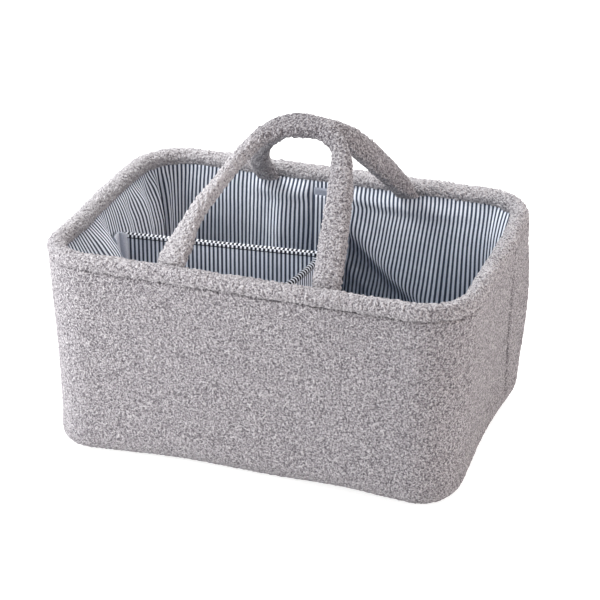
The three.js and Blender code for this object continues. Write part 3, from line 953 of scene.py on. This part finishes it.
def slackIn(run, z):
    # how far the cloth can stand in, and what share of that it does
    c = liningCloth
    x = run - backMiddleRun
    kinked = ramp(x, 4, 11) * ramp(1085 - run, 0, 75)
    crease = z + c["kinkFall"] * (x - 23) * kinked
    share = softly(c["plain"], z, 2.5)
    share = share + (softly(c["kinked"], crease, 1.2) - share) * kinked
    sagging = ramp(run, 480, 530) * ramp(640 - run, 0, 25)
    share = share + (softly(c["sagging"], z, 2.5) - share) * sagging
    return softly(c["slack"], run, 5), share


def addFolds(inward, run, z, free):
    # fine gathers, upright folds and one along the rim
    c = liningCloth
    x = run - backMiddleRun
    gather = wallNoise(run, z, 9, 60, 61)
    inward = inward + c["gather"] * gather * free * ramp(z, 20, 60) * ramp(178 - z, 0, 8)
    for spot, reach, depth in c["folds"]:
        fold = depth * hump(run, spot + c["foldLean"] * (z - 150), reach)
        inward = inward + fold * ramp(z, 30, 110) * ramp(176 - z, 0, 16)
    return inward + c["rimFold"] * hump(z, 166, 7) * ramp(x, -90, -60) * ramp(-22 - x, 0, 6)


def liningFolds(run, z):
    # how far the lining stands in from the wall, and how far its stripes are dragged along it
    c, f = liningCloth, diagonalFold
    x = run - backMiddleRun
    loose, share = slackIn(run, z)
    free = ramp(loose, 1, 5)
    inward = addFolds(loose * share, run, z, free)
    line = np.array(f["to"]) - np.array(f["from"])
    across = np.array([-line[1], line[0]]) / np.hypot(*line)
    past = (x - f["from"][0]) * across[0] + (z - f["from"][1]) * across[1]
    zone = ramp(x, 6, 12) * ramp(135 - x, 0, 50)
    below = (1 - ramp(past, -7, 5)) * zone
    ease = 1 - f["ease"] * ramp(-past, 10, 45)
    inward = inward + f["above"] * hump(past, 10, 9) * zone
    inward = inward - np.minimum(f["depth"], np.maximum(inward - 1, 0)) * below * ease
    inward = inward + f["below"] * hump(past, -21, 6) * zone * below
    drawn = f["drawn"] * hump(past, 0, 8) * zone * ramp(past, -7, 7)
    wander = c["wander"] * wallNoise(run, z, 26, 34, 71) * free
    dragged = f["shift"] * below + drawn + wander
    dragged = dragged - f["slant"] * np.maximum(165 - z, 0) * zone
    beside = c["besideTape"] * (1 - ramp(z, 154, 172))
    dragged = dragged + beside * ramp(x, 4, 11) * (1 - ramp(x, 35, 85))
    return np.maximum(inward, 0) * ramp(178.5 - z, 0, 4), dragged * ramp(178 - z, 0, 14)


def liningInset(run, z):
    return liningCloth["inset"] + liningFolds(run, z)[0]


def overFeet(run):
    # 1 where a handle's foot goes down behind the lining, 0 between
    c = liningCloth
    off = [abs(run - middle) - c["footPlace"] for middle in (backMiddleRun, frontMiddleRun)]
    return np.maximum(*(np.exp(-(d / c["footReach"]) ** 4) for d in off))


def makeLining():
    c = liningCloth
    columns = round(roundLength / c["step"])
    rows = round((c["top"] - c["low"]) / c["step"])
    u, v = spread(columns, rows)
    run = u * roundLength
    z = c["low"] + v * (c["top"] - c["footDip"] * overFeet(run) - c["low"])
    inward, dragged = liningFolds(run, z)
    points = wallAt(run + dragged, c["inset"] + inward, z)
    points[:, -1] = points[:, 0]
    steps = distances(wallAt(run[0], c["inset"], c["girthHeight"]))
    period = stripeLook["period"]
    steps *= round(steps[-1] / period) * period / steps[-1]
    lining = layCloth("wallLining", points, joined(steps, z), (True, False))
    thicken(lining, c["thickness"])
    dress(lining, stripes, ["wall_lining"])


floorCloth = {"inset": 11.5, "top": 13.1, "step": 4.0, "edgeDip": 0.8, "thickness": 1.0}


def makeFloor():
    c = floorCloth
    points = panelPoints(c["inset"], c["top"], c["step"])
    x, y = points[..., 0] / basket["halfLength"], points[..., 1] / basket["halfDepth"]
    points[..., 2] -= c["edgeDip"] * (np.maximum(abs(x), abs(y)) ** 6)
    floor = layCloth("floorCloth", points, points[..., :2])
    thicken(floor, c["thickness"], -1)
    dress(floor, stripes, ["floor_lining"])


makeFloor()
makeLining()
print("lining hung")


# dividers: padded panels with a folded edge, held by tape

dividerForm = {
    "half": 2.3, "low": 13.6, "step": 2.5, "puff": 0.7,
    "hemHalf": 2.8, "hemDrop": 0.6, "hemCloth": 0.45,
    "hemStep": 1.6, "hemAround": 13,
    # squares this near the fold's middle, as a share of the fold, are offset
    "offsetSquares": 0.24,
    # the stitched line, painted dark also as the shadow under the fold, begins and ends this far
    # below the fold
    "stitchAndShadow": (0.9, 0.06),
    # the board inside: half thickness, and how much smaller it is
    "boardHalf": 1.1, "boardLow": 2, "boardTop": 6, "boardEnd": 0.02,
}
crossDivider = {
    "name": "crossDivider", "body": "cross_divider",
    "axis": 1, "length": 225, "top": 160,
    "x": 22.9, "bow": 0.00178, "middle": 5,
    "reach": 112.5, "wallRun": 20.0, "fromWall": 17.7,
}
longDivider = {
    "name": "longDivider", "body": "long_divider",
    "axis": 0, "length": 187, "top": 153,
    "y": 11.0, "turn": 0.1, "middle": -85, "rightEnd": 16.8,
    "wallRun": 2.0, "fromWall": 3.2,
}


def crossAt(y):
    d = crossDivider
    return d["x"] - d["bow"] * (y - d["middle"]) ** 2


def crossPoint(share, across, z):
    d = crossDivider
    wall = outline(np.array([backMiddleRun + d["wallRun"]]))
    reach = basket["halfDepth"] - d["fromWall"] - drawIn(*wall, z)
    y = (2 * share - 1) * reach
    return joined(crossAt(y) + across, y, z)


def longAt(x):
    d = longDivider
    return d["y"] + d["turn"] * (x - d["middle"])


def longPoint(share, across, z):
    d = longDivider
    run = leftMiddleRun + d["wallRun"] + 0 * z
    wallX = -basket["halfLength"] + d["fromWall"]
    left = wallX + drawIn(*outline(run), z) + liningInset(run, z)
    x = left + (d["rightEnd"] - left) * share
    return joined(x, longAt(x) - across, z)


def panelLoop(half, low, crown):
    # up the near face, over the round top, down the far face and back under
    loop = np.concatenate([
        [[half, low], [half, crown]],
        arc((0, crown), half, 0, 180, 12)[1:],
        [[-half, low], [half, low]],
    ])
    count = round((2 * (crown - low) + 5 * half) / dividerForm["step"])
    return resample(loop, count // 2 * 2)


def makeDivider(d, place, nodes):
    f = dividerForm
    crown = d["top"] - f["hemHalf"]
    loop = panelLoop(f["half"], f["low"], crown)
    columns = round(d["length"] / f["step"])
    share = np.linspace(0, 1, columns + 1)[None, :]
    across, z = loop[:, :1], loop[:, 1:]
    tall = np.clip((z - f["low"]) / (crown - f["low"]), 0, 1)
    swell = f["puff"] * np.sin(pi * share) ** 0.5 * np.sin(pi * tall) ** 0.5
    points = place(share, across + np.sign(across) * swell, z)
    uv = joined(points[..., d["axis"]], distances(loop)[:, None])
    panel = sewTube(d["name"], points, uv, stripes, nodes, d["body"])


def makeBoard(name, d, place, nodes):
    # the stiff sheet inside a divider, following its cloth
    f = dividerForm
    loop = panelLoop(f["boardHalf"], f["low"] + f["boardLow"], d["top"] - f["boardTop"])
    share = np.linspace(f["boardEnd"], 1 - f["boardEnd"], 49)[None, :]
    points = place(share, loop[:, :1], loop[:, 1:])
    sewTube(name, points, points[..., 1:], board, nodes, d["body"])


def makeHem(d, place, nodes, squares=False, firstShare=0.0):
    f = dividerForm
    length = d["length"]
    crown = d["top"] - f["hemHalf"]
    half = f["hemHalf"] - f["hemCloth"] / 2
    low = crown - f["hemDrop"]
    bend = np.concatenate([[[half, low]], arc((0, crown), half, 0, 180, 16), [[-half, low]]])
    # narrow rows part the rows of squares
    rows = sorted({*range(0, 1001, 50), 257, 263, 737, 743})
    bend = resample(bend, 1000)[rows]
    distance = np.linspace(0, 1, 1001)[rows][:, None]
    stitchAndShadow = [[half, bend[0, 1] - down] for down in f["stitchAndShadow"]]
    bend = np.concatenate([stitchAndShadow, bend, np.array(stitchAndShadow[::-1]) * [-1, 1]])
    distance = np.concatenate([[[0], [0]], distance, [[1], [1]]])
    columns = round(length / f["hemStep"])
    share = np.linspace(firstShare, 1, columns + 1)[None, :]
    points = place(share, bend[:, :1], bend[:, 1:])
    halfPeriod = 0.5 * litHemLook["period"]
    skew = halfPeriod * (abs(distance - 0.5) < f["offsetSquares"]) * squares
    uv = joined(points[..., d["axis"]] + skew, distance * f["hemAround"])
    # with squares, the stitched rows take the dark stripe: stitches and painted shadow under the
    # fold
    if squares:
        uv[[0, 1, -2, -1], :, 0] = halfPeriod
    # the lit copy for the long divider's fold, the shaded copy for the cross divider's
    finish = litHemStripes if squares else shadedFoldStripes
    hem = sewSheet(d["name"] + "Hem", points, uv, f["hemCloth"], finish, nodes, d["body"])


makeDivider(crossDivider, crossPoint, ["cross_divider_cover"])
makeHem(crossDivider, crossPoint, ["cross_divider_hem"])
makeDivider(longDivider, longPoint, ["long_divider_cover"])
makeHem(longDivider, longPoint, ["long_divider_hem"], True, 0.02)
makeBoard("crossBoard", crossDivider, crossPoint, ["cross_divider_board"])
makeBoard("longBoard", longDivider, longPoint, ["long_divider_board"])
print("dividers made")


# tapes and flaps that lie on the walls

tapes = {
    "low": 25.3, "loopTop": 171.5, "flapTop": 165, "leftTop": 148,
    # inset of the straight ones, and how far the left one lies off the lining
    "loop": 15.2, "flap": 16.7, "offLining": 1.0,
    "thickness": 1.0, "step": 2.5,
    # their sides, from the middle of the wall or past the cross divider
    "backSide": 21, "frontSide": 23, "pastDivider": 1, "leftSides": (-18.5, 4),
}


def wallStrip(name, fromRun, toRun, inset, low, top, finish, nodes, body):
    columns = max(round((toRun - fromRun) / tapes["step"]), 4)
    rows = round((top - low) / tapes["step"])
    u, v = spread(columns, rows)
    run = fromRun + u * (toRun - fromRun)
    z = low + v * (top - low)
    depth = liningInset(run, z) + tapes["offLining"] if inset is None else inset
    points, uv = wallAt(run, depth, z), joined(run, z)
    strip = sewSheet(name, points, uv, tapes["thickness"], finish, nodes, body)
    (toRun - fromRun) * mm
    (top - low) * mm


def makeWallTapes():
    t = tapes
    reach = crossDivider["reach"]
    back = (backMiddleRun - t["backSide"], backMiddleRun + crossAt(reach) + t["pastDivider"])
    front = (frontMiddleRun - crossAt(-reach) - t["pastDivider"], frontMiddleRun + t["frontSide"])
    left = [leftMiddleRun + side for side in t["leftSides"]]
    loopArgs = (t["loop"], t["low"], t["loopTop"], shadedLoopTape)
    flapArgs = (t["flap"], t["low"], t["flapTop"], stripes)
    leftArgs = (None, t["low"], t["leftTop"], shadedLoopTape)
    wallStrip("backLoopStrip", *back, *loopArgs, ["back_loop_strip"], "basket")
    wallStrip("frontLoopStrip", *front, *loopArgs, ["front_loop_strip"], "basket")
    wallStrip("crossBackFlap", *back, *flapArgs, ["cross_divider_back_flap"], "cross_divider")
    wallStrip("crossFrontFlap", *front, *flapArgs, ["cross_divider_front_flap"], "cross_divider")
    wallStrip("leftLoopStrip", *left, *leftArgs, ["left_loop_strip"], "basket")


makeWallTapes()
print("wall tapes laid")


innerTape = {"start": 18.2, "width": 24, "top": 149.2, "thickness": 0.9}


def innerStrip(name, offset, finish, nodes, body):
    # a strip on the cross divider's near face, where the long divider ends
    t = innerTape
    u, v = spread(10, 50)
    y = t["start"] + t["width"] * u
    z = tapes["low"] + v * (t["top"] - tapes["low"])
    points = joined(crossAt(y) - offset, y, z)
    strip = sewSheet(name, points, joined(y, z), t["thickness"], finish, nodes, body)


innerStrip("crossLoopStrip", 4.0, shadedLoopTape, ["cross_divider_loop_strip"], "cross_divider")
innerStrip("longInnerFlap", 5.1, stripes, ["long_divider_inner_flap"], "long_divider")


hookTab = {
    "length": 23, "wall": 15, "bend": 0.9, "top": 154.5,
    "thickness": 0.9, "puff": 1.3, "puffLap": 7,
    "offLining": 2.2, "offDivider": 1.5, "dividerX": -165,
    "fullest": 120,
}


def makeHookTab():
    # flat on the left wall, then a soft fold and a lap along the divider's near face
    t = hookTab
    u, v = spread(30, 56)
    z = tapes["low"] + v * (t["top"] - tapes["low"])
    run = u * t["length"]
    lapY = longAt(t["dividerX"]) - dividerForm["half"] - t["offDivider"]
    turn = np.clip((run - t["wall"]) / (t["bend"] * pi / 2), 0, 1) * pi / 2
    y = lapY - t["bend"] - t["wall"] + np.minimum(run, t["wall"]) + t["bend"] * np.sin(turn)
    wallRun = leftMiddleRun + y
    # stiff enough to hang straight below its fullest part
    inset = np.maximum(liningInset(wallRun, z), liningInset(wallRun, t["fullest"]))
    face = -basket["halfLength"] + drawIn(*outline(wallRun), z) + inset + t["offLining"]
    past = np.maximum(run - t["wall"] - t["bend"] * pi / 2, 0)
    onWall = np.clip(run / t["wall"], 0, 1)
    x = face + t["bend"] * (1 - np.cos(turn)) + past + t["puff"] * np.sin(pi * onWall)
    onLap = np.clip(past / t["puffLap"], 0, 1)
    y = y + longDivider["turn"] * past - t["puff"] * np.sin(pi * onLap)
    points, uv = joined(x, y, z), joined(run, z)
    nodes = ["long_divider_wall_flap"]
    tab = sewSheet("longHookTab", points, uv, t["thickness"], hookTape, nodes, "long_divider")


makeHookTab()
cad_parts["base_board"].data.materials.clear()
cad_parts["base_board"].data.materials.append(board)
print("hook tab folded, base board finished")


# floor, light and background

ground = {
    "size": 24, "drop": 0.0004,
    "grey": 0.86, "roughness": 0.9,
    "glow": 1.64, "glowShare": 0.5,
}
lamps = {
    "key": {"place": (-1.4, -0.3, 2.15), "size": 1.3, "watts": 76, "tint": (1, 1, 1)},
    "fill": {"place": (2.5, -0.45, 1.0), "size": 1.3, "watts": 48, "tint": (1, 0.87, 0.82)},
    "rear": {"place": (0, 1.8, 1.8), "size": 1.3, "watts": 46, "tint": (1, 1, 1)},
    "low": {"place": (-0.7, -0.7, 0.33), "size": 0.5, "watts": 8.7, "tint": (1, 0.975, 0.985)},
}
studio = {"lampTarget": (0, 0, 0.12), "worldLight": 0.36}


def seenDirectly(tree):
    path = tree.nodes.new("ShaderNodeLightPath")
    kinds = ("Is Camera Ray", "Is Glossy Ray", "Is Transmission Ray")
    rays = [Wire(path.outputs[kind]) for kind in kinds]
    return (rays[0] + rays[1] + rays[2]).clamped()


def makeGround():
    g = ground
    bpy.ops.object.select_all(action="DESELECT")
    bpy.ops.mesh.primitive_grid_add(
        x_subdivisions=4, y_subdivisions=4, size=g["size"], location=(0, 0, -g["drop"]))
    floor = bpy.context.object
    floor.name = "studioFloor"
    material = bpy.data.materials.new("studioFloor")
    material.use_nodes = True
    tree = material.node_tree
    shader = tree.nodes["Principled BSDF"]
    grey = (g["grey"], g["grey"], g["grey"], 1)
    setInputs(shader, {"Base Color": grey, "Roughness": g["roughness"]})
    seen = seenDirectly(tree)
    glow = seen.node("ShaderNodeEmission", None, {"Strength": g["glow"]})
    surfaces = {0: seen * g["glowShare"], 1: Wire(shader.outputs[0]), 2: glow}
    mixed = seen.node("ShaderNodeMixShader", None, surfaces)
    plug(mixed, tree.nodes["Material Output"].inputs["Surface"])
    floor.data.materials.append(material)


def hangLamps():
    for name, lamp in lamps.items():
        data = bpy.data.lights.new(name, "AREA")
        data.size = lamp["size"]
        data.energy = lamp["watts"]
        data.color = lamp["tint"]
        made = bpy.data.objects.new(name, data)
        scene.collection.objects.link(made)
        made.location = lamp["place"]
        aimAt(made, Vector(studio["lampTarget"]))


def makeBackdrop():
    world = bpy.data.worlds.new("studio")
    world.use_nodes = True
    tree = world.node_tree
    backdrop = tree.nodes["Background"]
    setInputs(backdrop, {"Color": (1, 1, 1, 1)})
    least = studio["worldLight"]
    plug(seenDirectly(tree) * (1 - least) + least, backdrop.inputs["Strength"])
    scene.world = world
    scene.view_settings.view_transform = "Standard"


makeGround()
hangLamps()
makeBackdrop()
print("studio lit")
